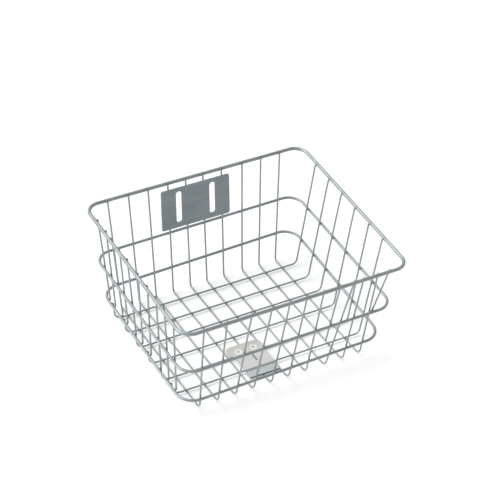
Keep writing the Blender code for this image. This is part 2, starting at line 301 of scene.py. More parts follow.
@dataclass(frozen=True)
class PlatePaint:
    """Satin paint on the pressed plate: rolled bands, scuffs and edges rubbed thin.

    The tone's shares are those of bands, clouds and flakes, the edge colour's those of
    scuffs and wear, and the roughness's those of clouds, flakes, scuffs and wear.
    """

    name: str
    centre: Vector
    lean: float
    width: float
    height: float
    light: Colour = (0.275, 0.314, 0.325)
    dark: Colour = (0.213, 0.249, 0.268)
    edge: Colour = (0.36, 0.39, 0.40)
    least_roughness: float = 0.33
    metallic: float = 0.3
    rolled: float = 0.16
    bands_per_metre: float = 170
    band_window: Pair = (0.35, 0.65)
    band_relief: Pair = (0.0003, 0.25)
    clouds_per_metre: float = 38
    flakes_per_metre: float = 1700
    scuffs_per_metre: float = 900
    scuff_window: Pair = (0.66, 0.74)
    chips_per_metre: float = 420
    chip_window: Pair = (0.35, 0.6)
    wear_reach: Pair = (0.0002, 0.0011)
    peel_per_metre: float = 620
    peel_relief: Pair = (0.00006, 0.5)
    tone_shares: Series = (0.55, 0.3, 0.15)
    edge_shares: Series = (0.12, 0.7)
    rough_shares: Series = (0.14, 0.05, -0.05, 0.08)

    def make(self) -> Material:
        """Build the material.

        Returns:
            The finished material.
        """
        recipe = Recipe(self.name)
        own = recipe.place(self.centre, (math.pi / 2 - self.lean, 0, 0))
        across, up = recipe.axis(own, "X"), recipe.axis(own, "Y")
        inset = (self.width / 2 - across.size()).least(self.height / 2 - up.size())
        rolled = recipe.stretch(own, self.rolled, 1, 1)
        bands = recipe.noise(rolled, self.bands_per_metre, detail=3, rough=0.6)
        clouds = recipe.noise(own, self.clouds_per_metre)
        flakes = recipe.speckle(own, self.flakes_per_metre)
        scuffs = recipe.noise(rolled, self.scuffs_per_metre, rough=0.7).ramp(*self.scuff_window)
        chips = recipe.noise(own, self.chips_per_metre, detail=3).ramp(*self.chip_window)
        wear = inset.ramp(*self.wear_reach, 1, 0) * chips
        tone = weighed(self.tone_shares, bands.ramp(*self.band_window),
                       clouds.ramp(*MIDTONES), flakes)
        colour = recipe.mix(tone, self.dark, self.light)
        colour = recipe.mix(weighed(self.edge_shares, scuffs, wear), colour, self.edge)
        rough = weighed(self.rough_shares, clouds, flakes, scuffs, wear) + self.least_roughness
        recipe.dress(Base_Color=colour, Roughness=rough, Metallic=self.metallic)
        recipe.bump(bands, *self.band_relief)
        recipe.bump(recipe.noise(own, self.peel_per_metre, detail=1), *self.peel_relief)
        return recipe.material


@dataclass(frozen=True)
class RolledStainless:
    """Bare rolled sheet with a straw tint at the back, and painted light and shade on it.

    The hole is its places across and along, and the slit its places and half length. A
    near-white ring round each hole is a painted highlight, the lowered nose has a darker
    colour as painted shade, and near-black bands along the front edge and round the slit are
    painted shadow. The roughness's shares are those of grain, clouds and the painted shadow.
    """

    name: str
    centre: Vector
    half_width: float
    back: float
    step: float
    front: float
    hole: Pair
    slit: Triple
    clean: Colour = (0.64, 0.635, 0.615)
    shade: Colour = (0.57, 0.57, 0.555)
    tint: Colour = (0.50, 0.465, 0.41)
    # Painted shade: a darker, greener colour for the lowered nose of the sheet.
    nose: Colour = (0.46, 0.50, 0.505)
    # Painted highlight: a near-white ring round each hole, for the light seen through it.
    hole_highlight: Colour = (0.95, 0.95, 0.93)
    # Painted shadow: near-black for a band along the front edge and round the slit.
    cut: Colour = (0.035, 0.037, 0.04)
    least_roughness: float = 0.27
    metallic: float = 0.25
    metallic_loss: float = 0.2
    rolled: float = 0.03
    grain_per_metre: float = 3200
    grain_relief: Pair = (0.00004, 0.35)
    clouds_per_metre: float = 75
    heat_window: Series = (0.25, 0.7, 0.35, 1)
    heat_reach: Pair = (0.020, 0.003)
    heat_left: float = 0.5
    step_fade: float = 0.0012
    # Reach of the painted shadow band along the front edge.
    front_shadow_reach: Pair = (0.0027, 0.0019)
    # Radius where the painted highlight ring round each hole starts to fade, and where it ends.
    highlight_ring_radii: Pair = (0.0042, 0.005)
    # Painted shade round the slit: its half width and its fade.
    slit_shade_half: float = 0.001
    slit_shade_fade: float = 0.0004
    tint_depth: float = 0.75
    # Share of the painted shade on the lowered nose.
    nose_shade_depth: float = 0.85
    # Share of the painted shadow.
    painted_shadow_depth: float = 0.95
    tone_shares: Series = (0.7, 0.3)
    rough_shares: Series = (0.16, 0.1, 0.3)

    def make(self) -> Material:
        """Build the material.

        Returns:
            The finished material.
        """
        recipe = Recipe(self.name)
        own = recipe.place(self.centre)
        across, along = recipe.axis(own, "X"), recipe.axis(own, "Y")
        grain = recipe.noise(recipe.stretch(own, 1, self.rolled, 1), self.grain_per_metre,
                             detail=3, rough=0.65)
        clouds = recipe.noise(own, self.clouds_per_metre, detail=3, rough=0.55)
        heated = along.ramp(*(self.back - reach for reach in self.heat_reach))
        heated = heated * clouds.ramp(*self.heat_window)
        right = across.ramp(-self.half_width, self.half_width, self.heat_left, 1)
        # Painted shade: the lowered nose, past the step.
        low = along.ramp(self.step, self.step - self.step_fade)
        # Painted shadow: a band along the front edge.
        tip = along.ramp(*(self.front + reach for reach in self.front_shadow_reach))
        # Painted highlight: a ring round each hole.
        hole_x, hole_y = across.size() - self.hole[0], along - self.hole[1]
        ring = (hole_x * hole_x + hole_y * hole_y).ramp(
            *(radius ** 2 for radius in self.highlight_ring_radii), 1, 0)
        # Painted shade: a near-black rim round the slit.
        slit_x, slit_y, slit_half = self.slit
        beside = (across - slit_x).size().ramp(
            self.slit_shade_half, self.slit_shade_half + self.slit_shade_fade, 1, 0)
        slit_shade = beside * (along - slit_y).size().ramp(slit_half, slit_half + self.slit_shade_fade, 1, 0)
        # Mask of the painted shadow: the front-edge band and the slit's rim.
        edges = tip.most(slit_shade)
        tone = weighed(self.tone_shares, clouds.ramp(*MIDTONES), grain)
        colour = recipe.mix(tone, self.shade, self.clean)
        colour = recipe.mix(heated * right * self.tint_depth, colour, self.tint)
        # Paint shade onto the lowered nose.
        colour = recipe.mix(low * self.nose_shade_depth, colour, self.nose)
        # Paint the highlight ring round each hole.
        colour = recipe.mix(ring, colour, self.hole_highlight)
        # Paint the near-black shadow band along the front edge and round the slit.
        colour = recipe.mix(edges * self.painted_shadow_depth, colour, self.cut)
        rough = weighed(self.rough_shares, grain, clouds, edges) + self.least_roughness
        metallic = self.metallic - edges.most(ring) * self.metallic_loss
        recipe.dress(Base_Color=colour, Roughness=rough, Metallic=metallic)
        recipe.bump(grain, *self.grain_relief)
        return recipe.material


@dataclass(frozen=True)
class StudioGround:
    """Matt pale table top, lit through from below, with a barely uneven tone."""

    name: str = "studio_ground"
    brightness: float = 0.71
    unevenness: float = 1.02
    clouds_per_metre: float = 1.5
    roughness: float = 0.9
    glow: float = 0.28

    def make(self) -> Material:
        """Build the material.

        Returns:
            The finished material.
        """
        recipe = Recipe(self.name)
        clouds = recipe.noise(recipe.place(), self.clouds_per_metre)
        pale = (self.brightness,) * 3
        paler = (self.brightness * self.unevenness,) * 3
        recipe.dress(Base_Color=recipe.mix(clouds, pale, paler), Roughness=self.roughness,
                     Emission_Color=(1.0, 1.0, 1.0), Emission_Strength=self.glow)
        return recipe.material


# Objects and Geometry Nodes


def scene_object(name: str, data: bpy.types.ID, material: Optional[Material] = None) -> Object:
    """Put a new object into the scene.

    Args:
        name: its name.
        data: its mesh, curve, light or camera.
        material: the one material that its mesh wears, if any.

    Returns:
        The object.
    """
    if material:
        data.materials.clear()
        data.materials.append(material)
    made = bpy.data.objects.new(name, data)
    bpy.context.scene.collection.objects.link(made)
    return made


def plain_mesh(source: Object) -> Mesh:
    """Evaluate an object.

    Args:
        source: the object, with its modifiers.

    Returns:
        What it evaluates to, as a new mesh.
    """
    bpy.context.view_layer.update()
    graph = bpy.context.evaluated_depsgraph_get()
    return bpy.data.meshes.new_from_object(source.evaluated_get(graph), depsgraph=graph)


class NodeShop:
    """A Geometry Nodes tree in the making."""

    def __init__(self, name: str, inputs: Sequence[tuple[str, str, Any]]) -> None:
        """Start a tree.

        Args:
            name: the tree's name.
            inputs: name, socket type and default of each input after the geometry.
        """
        self.tree = bpy.data.node_groups.new(name, "GeometryNodeTree")
        interface = self.tree.interface
        interface.new_socket("Geometry", in_out="INPUT", socket_type="NodeSocketGeometry")
        self.identifiers: dict[str, str] = {}
        for label, kind, default in inputs:
            item = interface.new_socket(label, in_out="INPUT", socket_type=f"NodeSocket{kind}")
            if default is not None:
                item.default_value = default
            self.identifiers[label] = item.identifier
        interface.new_socket("Geometry", in_out="OUTPUT", socket_type="NodeSocketGeometry")
        self.entry = self.tree.nodes.new("NodeGroupInput")
        self.exit = self.tree.nodes.new("NodeGroupOutput")

    def given(self, name: str) -> NodeSocket:
        """Return the group input's socket of that name."""
        return self.entry.outputs[name]

    def add(self, kind: str, settings: Optional[dict] = None,
            sockets: Optional[dict] = None) -> Node:
        """Add a node.

        Args:
            kind: the node's type.
            settings: attributes that are set first.
            sockets: constants, output sockets, or nodes whose first output is meant, for its
                inputs, by index or name.

        Returns:
            The node.
        """
        node = self.tree.nodes.new(kind)
        for key, value in (settings or {}).items():
            setattr(node, key, value)
        for key, value in (sockets or {}).items():
            if isinstance(value, Node):
                value = value.outputs[0]
            if isinstance(value, NodeSocket):
                self.tree.links.new(value, node.inputs[key])
            else:
                node.inputs[key].default_value = value
        return node

    def math(self, operation: str, *values: Any) -> Node:
        """Add a Math node."""
        return self.add("ShaderNodeMath", {"operation": operation}, dict(enumerate(values)))

    def vector(self, operation: str, sockets: dict) -> Node:
        """Add a Vector Math node."""
        return self.add("ShaderNodeVectorMath", {"operation": operation}, sockets)

    def named(self, name: str, kind: str = "FLOAT_VECTOR") -> Node:
        """Read an attribute of the incoming points."""
        return self.add("GeometryNodeInputNamedAttribute", {"data_type": kind}, {0: name})

    def noise(self, size: NodeSocket) -> Node:
        """Read noise at each point.

        Args:
            size: socket that gives the size of its features.

        Returns:
            The noise node.
        """
        return self.add("ShaderNodeTexNoise", None, {
            "Vector": self.add("GeometryNodeInputPosition"),
            "Scale": self.math("DIVIDE", 1.0, size), "Detail": 1.0})

    def close(self, geometry: Node, nearness: Any) -> None:
        """Mark, smooth, realize and dress the mesh, and end the tree.

        Args:
            geometry: node that gives the mesh.
            nearness: value or node that says how near a weld each point is, up to 1.
        """
        marked = self.add("GeometryNodeStoreNamedAttribute",
                          {"data_type": "FLOAT", "domain": "POINT"},
                          {0: geometry, 2: "weld_near", 3: nearness})
        smooth = self.add("GeometryNodeSetShadeSmooth", None, {0: marked})
        real = self.add("GeometryNodeRealizeInstances", None, {"Geometry": smooth})
        dressed = self.add("GeometryNodeSetMaterial", None,
                           {"Geometry": real, "Material": self.given("Material")})
        self.tree.links.new(dressed.outputs[0], self.exit.inputs[0])

    def run(self, source: Object, values: dict[str, Any]) -> Object:
        """Apply the tree to an object and keep the result as a plain mesh.

        Args:
            source: object that carries the input geometry; it is removed.
            values: values of the tree's named inputs.

        Returns:
            The new mesh object, named as the source was.
        """
        modifier = source.modifiers.new(self.tree.name, "NODES")
        modifier.node_group = self.tree
        for label, value in values.items():
            modifier[self.identifiers[label]] = value
        mesh = plain_mesh(source)
        name = source.name
        source.modifiers.remove(modifier)
        bpy.data.objects.remove(source)
        mesh.name = name
        return scene_object(name, mesh)


class TubeTree(NodeShop):
    """Sweeps a round section along paths, bends their corners and rounds their ends."""

    def __init__(self) -> None:
        """Build the tree."""
        super().__init__("round_rods", (
            ("Radius", "Float", 0.00125),
            ("Step", "Float", 0.003),
            ("Bend Count", "Int", 10),
            ("Sides", "Int", 16),
            ("Waviness", "Float", 0.0001),
            ("Wave Length", "Float", 0.05),
            ("Welds", "Object", None),
            ("Weld Reach", "Float", 0.004),
            ("Material", "Material", None),
        ))
        girth = self.named("girth", "FLOAT")
        path = self.add("GeometryNodeMeshToCurve", None, {0: self.given("Geometry")})
        rounded = self.add("GeometryNodeFilletCurve", {"mode": "POLY"}, {
            0: path, "Count": self.given("Bend Count"),
            "Radius": self.named("bend_radius", "FLOAT")})
        stepped = self.add("GeometryNodeSubdivideCurve", None, {0: rounded, 1: self.cuts()})
        waved = self.add("GeometryNodeSetPosition", None, {
            "Geometry": stepped, "Offset": self.drift()})
        girded = self.add("GeometryNodeSetCurveRadius", None, {"Curve": waved, "Radius": girth})
        section = self.add("GeometryNodeCurvePrimitiveCircle", {"mode": "RADIUS"}, {
            "Resolution": self.given("Sides"), "Radius": self.given("Radius")})
        tube = self.add("GeometryNodeCurveToMesh", None, {
            "Curve": girded, "Profile Curve": section, "Scale": girth, "Fill Caps": True})
        self.close(tube, self.nearness())

    def cuts(self) -> Node:
        """Work out how many cuts each stretch of a path takes to keep to the step.

        Returns:
            The node that gives the number.
        """
        place = self.add("GeometryNodeInputPosition")
        after = self.add("GeometryNodeOffsetPointInCurve", None, {"Offset": 1})
        onward = self.add("GeometryNodeFieldAtIndex", {"data_type": "FLOAT_VECTOR"}, {
            0: place, 1: after.outputs[1]})
        length = self.vector("DISTANCE", {0: place, 1: onward})
        share = self.math("DIVIDE", length.outputs["Value"], self.given("Step"))
        return self.add("FunctionNodeFloatToInt", {"rounding_mode": "FLOOR"}, {0: share})

    def drift(self) -> Node:
        """Work out the small offset that keeps a wire from being ruler-straight.

        Returns:
            The node that gives the offset.
        """
        noise = self.noise(self.given("Wave Length"))
        centred = self.vector("SUBTRACT", {0: noise.outputs["Color"], 1: (0.5, 0.5, 0.5)})
        return self.vector("SCALE", {0: centred, "Scale": self.given("Waviness")})

    def nearness(self) -> Node:
        """Measure how near a weld each point is.

        Returns:
            The node that gives 1 at a weld, falling to 0 at the weld's reach.
        """
        welds = self.add("GeometryNodeObjectInfo", {"transform_space": "RELATIVE"},
                         {"Object": self.given("Welds")})
        near = self.add("GeometryNodeProximity", {"target_element": "POINTS"},
                        {0: welds.outputs["Geometry"]})
        return self.add("ShaderNodeMapRange", {"interpolation_type": "SMOOTHSTEP"}, {
            0: near.outputs["Distance"], 1: self.given("Radius"), 2: self.given("Weld Reach"),
            3: 1.0, 4: 0.0})


class BeadTree(NodeShop):
    """Sets a small uneven bead of weld metal at each point, turned to its two rods."""

    def __init__(self) -> None:
        """Build the tree."""
        super().__init__("weld_beads", (
            ("Size", "Float", 0.001),
            ("Least Share", "Float", 0.9),
            ("Most Share", "Float", 1.12),
            ("Roughness", "Float", 0.00018),
            ("Grain", "Float", 0.0012),
            ("Seed", "Int", 7),
            ("Material", "Material", None),
        ))
        points = self.add("GeometryNodeMeshToPoints", None, {"Mesh": self.given("Geometry")})
        ball = self.add("GeometryNodeMeshIcoSphere", None, {
            "Radius": self.given("Size"), "Subdivisions": 3})
        chance = self.add("FunctionNodeRandomValue", {"data_type": "FLOAT"}, {
            2: self.given("Least Share"), 3: self.given("Most Share"), "Seed": self.given("Seed")})
        upright = self.add("FunctionNodeAlignRotationToVector", {"axis": "Z"}, {
            "Vector": self.named("across")})
        turned = self.add("FunctionNodeAlignRotationToVector", {"axis": "X", "pivot_axis": "Z"}, {
            "Rotation": upright, "Vector": self.named("along")})
        sized = self.vector("SCALE", {0: self.named("spread"), "Scale": chance.outputs[1]})
        beads = self.add("GeometryNodeInstanceOnPoints", None, {
            "Points": points, "Instance": ball, "Rotation": turned, "Scale": sized})
        real = self.add("GeometryNodeRealizeInstances", None, {"Geometry": beads})
        level = self.math("SUBTRACT", self.noise(self.given("Grain")), 0.5)
        push = self.math("MULTIPLY", level, self.given("Roughness"))
        swell = self.vector("SCALE", {0: self.add("GeometryNodeInputNormal"), "Scale": push})
        lumpy = self.add("GeometryNodeSetPosition", None, {"Geometry": real, "Offset": swell})
        self.close(lumpy, 1.0)


# Sizes and places


def lerp(start: float, end: float, share: float) -> float:
    """Return the value that lies the given share of the way from start to end."""
    return start + (end - start) * share


@dataclass(frozen=True)
class Weld:
    """One bead: its middle, the directions across the gap and along a rod, and its size."""

    middle: Vector
    across: Vector
    along: Vector
    spread: Triple


@dataclass
class Rod:
    """A rod's centre line: its corners, the bend at each, and whether it closes."""

    corners: list[Vector]
    radius: float
    bends: list[float]
    closed: bool = False
    end_length: float = 0.0004
    end_girth: float = 0.72
    bend_steps: int = 6
    least_span: float = 0.00001
    weld_gap: float = 0.0016

    def stations(self) -> list[tuple[Vector, float, float]]:
        """Return the points of the path that is swept.

        Returns:
            For each point its place, the radius of its bend and its share of the girth,
            which is smaller at a cut end.
        """
        places = [(corner, bend, 1.0) for corner, bend in zip(self.corners, self.bends)]
        if self.closed:
            return places
        head, second = self.corners[:2]
        last, tail = self.corners[-2:]
        head_inner = head + (second - head).normalized() * self.end_length
        tail_inner = tail + (last - tail).normalized() * self.end_length
        return [(head, 0.0, self.end_girth), (head_inner, 0.0, 1.0), *places[1:-1],
                (tail_inner, 0.0, 1.0), (tail, 0.0, self.end_girth)]

    def track(self) -> list[Vector]:
        """Round the bends of the centre line.

        Returns:
            The points of the rounded line, in order.
        """
        count = len(self.corners)
        points = []
        for index, (corner, bend) in enumerate(zip(self.corners, self.bends)):
            if not self.closed and index in (0, count - 1):
                points.append(corner)
                continue
            back = (self.corners[index - 1] - corner).normalized()
            onward = (self.corners[(index + 1) % count] - corner).normalized()
            half = back.angle(onward) / 2
            reach = bend / math.tan(half)
            middle = corner + (back + onward).normalized() * (bend / math.sin(half))
            start, end = corner + back * reach - middle, corner + onward * reach - middle
            sweep = math.pi - half * 2
            for step in range(self.bend_steps + 1):
                turn = sweep * step / self.bend_steps
                spoke = start * math.sin(sweep - turn) + end * math.sin(turn)
                points.append(middle + spoke / math.sin(sweep))
        return points

    def spans(self) -> list[tuple[Vector, Vector]]:
        """Split the rounded centre line into straight stretches.

        Returns:
            Both ends of each stretch.
        """
        points = self.track()
        ends = points[1:] + (points[:1] if self.closed else [])
        return [(start, end) for start, end in zip(points, ends)
                if (end - start).length > self.least_span]

    def welds_to(self, other: "Rod", spread: Triple) -> list[Weld]:
        """Find where this rod is welded to another one.

        Args:
            other: the rod that it may touch.
            spread: size of a bead between rods.

        Returns:
            One weld for each place where the two come close.
        """
        reach = self.radius + other.radius + self.weld_gap
        found = []
        for start, end in self.spans():
            for other_start, other_end in other.spans():
                mine, its = closest_points(start, end, other_start, other_end)
                gap = (mine - its).length
                if gap < reach:
                    found.append((gap, mine, its, (end - start).normalized()))
        taken: list[Vector] = []
        welds = []
        for _, mine, its, along in sorted(found, key=lambda near: near[0]):
            if all((mine - place).length > reach * 2 for place in taken):
                taken.append(mine)
                across = (its - mine).normalized()
                middle = (mine + across * self.radius + its - across * other.radius) / 2
                welds.append(Weld(middle, across, along, spread))
        return welds


def closest_points(a: Vector, b: Vector, c: Vector, d: Vector) -> tuple[Vector, Vector]:
    """Find where two segments come closest.

    Args:
        a: start of the first segment.
        b: its end.
        c: start of the second segment.
        d: its end.

    Returns:
        The point on the first segment and the one on the second.
    """
    parallel = 1e-14
    first, second, between = b - a, d - c, a - c
    aa, ee, ff = first.dot(first), second.dot(second), second.dot(between)
    bb, cc = first.dot(second), first.dot(between)
    bottom = aa * ee - bb * bb
    share = min(max((bb * ff - cc * ee) / bottom, 0), 1) if bottom > parallel else 0.0
    other = (bb * share + ff) / ee
    if other < 0 or other > 1:
        other = min(max(other, 0), 1)
        share = min(max((bb * other - cc) / aa, 0), 1)
    return a + first * share, c + second * other


@dataclass(frozen=True)
class Wall:
    """A leaning wall: the plane that its uprights' centre lines lie in."""

    foot_out: float
    foot_height: float
    rim_out: float
    rim_height: float
    rim_seat: float
    hoop_seat: float

    @property
    def lean(self) -> float:
        """Angle from the vertical.

        Returns:
            The lean at which the uprights' tops touch the rim on its inside.
        """
        rise = self.rim_height - self.foot_height
        first = math.atan2(self.rim_out - self.rim_seat - self.foot_out, rise)
        top = self.rim_out - self.rim_seat / math.cos(first)
        return math.atan2(top - self.foot_out, rise)

    def out(self, height: float) -> float:
        """Distance of the uprights from the middle at a height."""
        return self.foot_out + (height - self.foot_height) * math.tan(self.lean)

    def hoop_out(self, height: float) -> float:
        """Distance of a hoop that lies outside the uprights."""
        return self.out(height) + self.hoop_seat / math.cos(self.lean)


@dataclass(frozen=True)
class Sizes:
    """The basket's sizes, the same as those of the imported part."""

    rim_length: float = 0.336
    rim_depth: float = 0.2822
    rim_back_height: float = 0.171
    rim_front_height: float = 0.1589
    side_flare: float = 0.0235
    back_flare: float = 0.0271
    front_flare: float = 0.026
    middle_heights: Pair = (0.0946, 0.0853)
    middle_tilt_rise: float = 0.0017
    lower_heights: Pair = (0.0395, 0.0265)
    lower_tilt_rise: float = 0.0038
    rim_radius: float = 0.0025
    hoop_radius: float = 0.002
    wire_radius: float = 0.00125
    gap: float = 0.0003
    cut_end_rise: float = 0.0002
    front_bend: float = 0.012
    hoop_end_gap: float = 0.0004
    floor_spread: float = 0.855
    back_spread: float = 0.808
    front_spread: float = 0.811
    floor_shares: Series = (
        -1.0, -0.777, -0.563, -0.344, -0.123, 0.091, 0.31, 0.552, 0.776, 0.995)
    back_shares: Series = (
        -1.0, -0.771, -0.552, -0.332, -0.13, 0.066, 0.28, 0.52, 0.74, 0.964)
    front_shares: Series = (
        -1.0, -0.755, -0.489, -0.271, -0.076, 0.111, 0.295, 0.634, 0.738, 0.897)
    side_floor_shares: Series = (0.806, 0.507, 0.214, -0.103, -0.423, -0.685)
    side_rim_shares: Series = (0.67, 0.418, 0.175, -0.069, -0.327, -0.572)
    left_foot_ends: Pair = (0.875, -0.801)
    left_rim_ends: Pair = (0.777, -0.756)
    left_foot_shares: Series = (
        0.0, 0.082, 0.198, 0.275, 0.402, 0.503, 0.63, 0.777, 0.894, 1.0)
    left_rim_shares: Series = (
        0.0, 0.115, 0.194, 0.296, 0.403, 0.545, 0.669, 0.778, 0.885, 1.0)
    extra_rim_shares: Pair = (0.388, 0.835)
    extra_floor_shares: Pair = (0.398, 0.768)
    extra_free_share: float = 0.343

    @property
    def floor_half(self) -> float:
        """Half the floor's length."""
        return self.rim_length / 2 - self.side_flare

    @property
    def floor_back(self) -> float:
        """Place of the floor's back edge."""
        return self.rim_depth / 2 - self.back_flare

    @property
    def floor_front(self) -> float:
        """Place of the floor's front edge."""
        return self.front_flare - self.rim_depth / 2

    @property
    def cross_height(self) -> float:
        """Height of the side wires on the floor."""
        return self.wire_radius * 3 + self.gap

    def wall(self, foot_out: float, foot_height: float, rim_out: float, height: float) -> Wall:
        """Set up a wall between a foot and the rim.

        Args:
            foot_out: distance of the uprights' feet from the middle.
            foot_height: height of the feet.
            rim_out: distance of the rim from the middle.
            height: height of the rim.

        Returns:
            The wall.
        """
        return Wall(foot_out, foot_height, rim_out, height,
                    self.rim_radius + self.wire_radius + self.gap,
                    self.hoop_radius + self.wire_radius + self.gap)

    @property
    def back(self) -> Wall:
        """The back wall."""
        return self.wall(self.floor_back, self.wire_radius, self.rim_depth / 2,
                         self.rim_back_height)

    @property
    def front(self) -> Wall:
        """The front wall."""
        return self.wall(-self.floor_front, self.wire_radius, self.rim_depth / 2,
                         self.rim_front_height)

    def side(self, y: float) -> Wall:
        """Return a side wall at a place along Y, since the rim slopes to the front."""
        return self.wall(self.floor_half, self.cross_height, self.rim_length / 2,
                         self.rim_height_at(y))

    def on_back(self, x: float, height: float) -> Vector:
        """Return a point of the back wall's uprights."""
        return Vector((x, self.back.out(height), height))

    def on_front(self, x: float, height: float) -> Vector:
        """Return a point of the front wall's uprights."""
        return Vector((x, -self.front.out(height), height))

    def on_side(self, x_sign: int, y: float, height: float) -> Vector:
        """Return a point of the right or the left wall's uprights."""
        return Vector((self.side(y).out(height) * x_sign, y, height))

    def floor_place(self, share: float) -> float:
        """Place along Y at a share of half the floor's depth from its middle."""
        return lerp(self.floor_front, self.floor_back, (1 + share) / 2)

    def rim_height_at(self, y: float) -> float:
        """Height of the rim's centre line at a place along Y."""
        return lerp(self.rim_back_height, self.rim_front_height, 1 / 2 - y / self.rim_depth)

    def rim_corners(self) -> list[Vector]:
        """Work out where the rim turns.

        Returns:
            The corners, in the order of QUARTERS.
        """
        heights = {1: self.rim_back_height, -1: self.rim_front_height}
        return [Vector((self.rim_length / 2 * x_sign, self.rim_depth / 2 * y_sign,
                        heights[y_sign])) for x_sign, y_sign in QUARTERS]

    def hoop_corners(self, heights: Pair, tilt_rise: float) -> list[Vector]:
        """Return the corners of a hoop that lies outside the uprights.

        Args:
            heights: its height in the middle of the back wall and of the front wall.
            tilt_rise: how much higher it stands at the right wall, and lower at the left.

        Returns:
            The corners, in the order of QUARTERS.
        """
        corners = []
        for x_sign, y_sign in QUARTERS:
            wall, middle = (self.back, heights[0]) if y_sign > 0 else (self.front, heights[1])
            height = middle + tilt_rise * x_sign
            y = wall.hoop_out(height) * y_sign
            corners.append(Vector((self.side(y).hoop_out(height) * x_sign, y, height)))
        return corners

    def lower_left_height(self, y: float) -> float:
        """Height of the lower hoop on the left wall at a place along Y."""
        _, back, front, _ = self.hoop_corners(self.lower_heights, self.lower_tilt_rise)
        return lerp(back.z, front.z, (back.y - y) / (back.y - front.y))


class HoopKind(Enum):
    """The three closed rods: node name and corner radius, seen from above."""

    RIM = ("rim_hoop", 0.019)
    MIDDLE = ("middle_hoop", 0.022)
    LOWER = ("lower_hoop", 0.024)


# Sub-assemblies


@dataclass
class Workshop:
    """What the sub-assemblies share: sizes, node trees and finished materials."""

    sizes: Sizes
    tubes: TubeTree
    beads: BeadTree
    wire_paint: Material
    weld_paint: Material

    def keep(self, piece: Object, slot: str, nodes: Iterable[str] = ()) -> None:
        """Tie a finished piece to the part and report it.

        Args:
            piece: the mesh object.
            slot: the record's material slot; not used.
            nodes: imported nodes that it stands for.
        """
        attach(piece, BODY)
        names = list(nodes)
        if names:
            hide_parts(*names)
        log.info("%s: %d faces, stands for %s", piece.name, len(piece.data.polygons),
                 ", ".join(names) or "no node")


def path_object(name: str, rods: Iterable[Rod]) -> Object:
    """Make one mesh of edges from the centre lines of rods.

    Args:
        name: name of the object.
        rods: the rods.

    Returns:
        The object, whose points carry the radius of their bend and their girth.
    """
    stations: list[tuple[Vector, float, float]] = []
    edges: list[tuple[int, int]] = []
    for rod in rods:
        first = len(stations)
        stations += rod.stations()
        last = len(stations) - 1
        edges += [(index, index + 1) for index in range(first, last)]
        if rod.closed:
            edges.append((last, first))
    points, bends, girths = zip(*stations)
    mesh = bpy.data.meshes.new(name)
    mesh.from_pydata(points, edges, [])
    for label, values in (("bend_radius", bends), ("girth", girths)):
        mesh.attributes.new(label, "FLOAT", "POINT").data.foreach_set("value", values)
    return scene_object(name, mesh)


@dataclass
class RodSet:
    """Rods that become one or more pieces; each kind of rod has a class of its own."""

    shop: Workshop
    sides: int = 16
    waviness: float = 0.00012
    step: float = 0.002
    bend_count: int = 14
    weld_reach: float = 0.0032

    def rods(self) -> dict[str, Rod]:
        """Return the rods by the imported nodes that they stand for."""
        raise NotImplementedError

    def pieces(self) -> dict[str, dict[str, Rod]]:
        """Return the rods of each piece by the piece's name."""
        raise NotImplementedError

    def build(self, welds: Object) -> None:
        """Sweep each piece's rods into a mesh and tie it to the part.

        Args:
            welds: object with a point at each weld, for the paint that pools there.
        """
        for name, rods in self.pieces().items():
            radius = next(iter(rods.values())).radius
            piece = self.shop.tubes.run(path_object(name, rods.values()), {
                "Radius": radius, "Sides": self.sides, "Waviness": self.waviness,
                "Welds": welds, "Weld Reach": radius + self.weld_reach, "Step": self.step,
                "Bend Count": self.bend_count, "Material": self.shop.wire_paint})
            self.shop.keep(piece, "painted_wire", rods)


@dataclass
class HoopSet(RodSet):
    """The rim and the two hoops under it, outside the uprights."""

    sides: int = 24
    waviness: float = 0.0002

    def rods(self) -> dict[str, Rod]:
        """Lay out the three hoops.

        Returns:
            The hoops by node.
        """
        sizes = self.shop.sizes
        shapes = {
            HoopKind.RIM: (sizes.rim_radius, sizes.rim_corners()),
            HoopKind.MIDDLE: (sizes.hoop_radius, sizes.hoop_corners(
                sizes.middle_heights, sizes.middle_tilt_rise)),
            HoopKind.LOWER: (sizes.hoop_radius, sizes.hoop_corners(
                sizes.lower_heights, sizes.lower_tilt_rise)),
        }
        rods = {}
        for kind, (radius, corners) in shapes.items():
            node, corner_radius = kind.value
            rods[node] = Rod(corners, radius, [corner_radius] * len(corners), closed=True)
        return rods

    def pieces(self) -> dict[str, dict[str, Rod]]:
        """Return each hoop as a piece of its own."""
        return {node.replace("hoop", "rod"): {node: rod} for node, rod in self.rods().items()}


@dataclass
class WireSet(RodSet):
    """Thin wires that become one piece, named after the stem of their nodes."""

    stem: str = "wire"

    def paths(self) -> Iterator[list[Vector]]:
        """Yield the corners of each wire, in the order of the nodes' numbers."""
        raise NotImplementedError

    def bends(self) -> list[float]:
        """Return the bend radius at each corner; a straight wire has none."""
        return [0, 0]

    def rods(self) -> dict[str, Rod]:
        """Number the wires.

        Returns:
            The wires by node.
        """
        radius = self.shop.sizes.wire_radius
        return {f"{self.stem}_{number:02d}": Rod(corners, radius, self.bends())
                for number, corners in enumerate(self.paths(), start=1)}

    def pieces(self) -> dict[str, dict[str, Rod]]:
        """Return all the wires as one piece."""
        return {f"{self.stem}_set": self.rods()}


